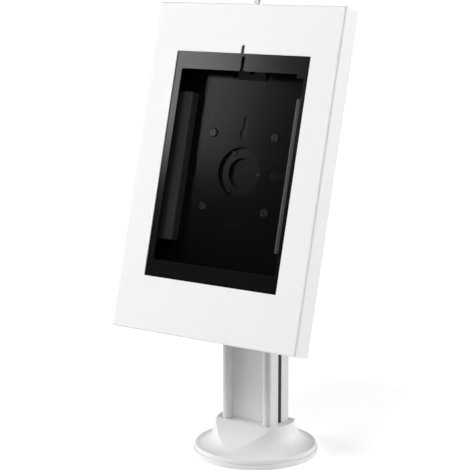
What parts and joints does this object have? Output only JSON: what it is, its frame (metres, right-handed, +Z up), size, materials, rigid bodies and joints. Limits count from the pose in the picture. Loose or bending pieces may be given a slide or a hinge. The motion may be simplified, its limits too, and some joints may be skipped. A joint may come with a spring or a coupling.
{
  "type": "tablet kiosk stand",
  "caption": "Counter-top tablet kiosk: lockable steel enclosure with a window and swing-open cover, on a tilting and turning head, an extruded column and a round bolt-down base.",
  "frame": {"origin": "middle of the base plate's underside, on the counter", "axes": "+Z up, the enclosure's face towards -Y, +X to the right of a person facing the screen"},
  "size_m": [0.223, 0.1617, 0.4658],
  "materials": {
    "white_steel": "satin white powder coat",
    "white_plastic": "fine-grained white moulding",
    "column_alloy": "light satin anodised extrusion",
    "black_steel": "matt black powder coat",
    "black_plastic": "matt black moulding",
    "black_strip": "soft black strip",
    "foam": "closed-cell foam",
    "screw_steel": "zinc plated",
    "lock_chrome": "polished"
  },
  "bodies": {
    "stand": {"base_plate": "white_steel", "base_cover": "white_plastic", "cover_screws": "screw_steel", "column": "column_alloy", "column_screws": "screw_steel", "slot_strip_left": "black_strip", "slot_strip_right": "black_strip", "tilt_yoke": "black_steel", "yoke_screws": "screw_steel", "pivot_bolts": "screw_steel", "pivot_nuts": "screw_steel", "spring_washers": "screw_steel"},
    "tilt_head": {"tilt_bracket": "black_steel", "arm_washers": "black_plastic", "front_washer": "black_plastic", "rear_washer": "black_plastic"},
    "enclosure": {"pivot_sleeve": "black_steel", "bore_cap": "black_plastic", "retaining_ring": "screw_steel", "sleeve_screws": "screw_steel", "vesa_plate": "black_steel", "vesa_screws": "black_steel", "back_tray": "black_steel", "tongue_shield": "black_steel", "shield_rivets": "black_steel", "foam_pad_left": "foam", "foam_pad_right": "foam"},
    "cover": {"front_cover": "white_steel", "mask_frame": "black_plastic", "mask_studs": "screw_steel", "mask_nuts": "screw_steel", "lock_housing": "lock_chrome", "lock_nut": "screw_steel"},
    "lock_core": {"lock_plug": "lock_chrome", "lock_cam": "screw_steel", "cam_screw": "screw_steel"}
  },
  "joints": [
    {"name": "tilt", "type": "hinge", "parent": "stand", "child": "tilt_head", "pos_m": [0, 0, 0.2885], "axis": [-1, 0, 0], "range_deg": [-14.7, 45.3]},
    {"name": "turn", "type": "hinge", "parent": "tilt_head", "child": "enclosure", "pos_m": [0, 0, 0.2885], "axis": [0, -0.9673, 0.2538], "range_deg": [-90, 90]},
    {"name": "open", "type": "hinge", "parent": "enclosure", "child": "cover", "pos_m": [0, -0.07596, 0.13412], "axis": [1, 0, 0], "range_deg": [0, 75]},
    {"name": "lock", "type": "hinge", "parent": "cover", "child": "lock_core", "pos_m": [0, -0.00052, 0.45912], "axis": [0, -0.2538, -0.9673], "range_deg": [0, 90]}
  ]
}
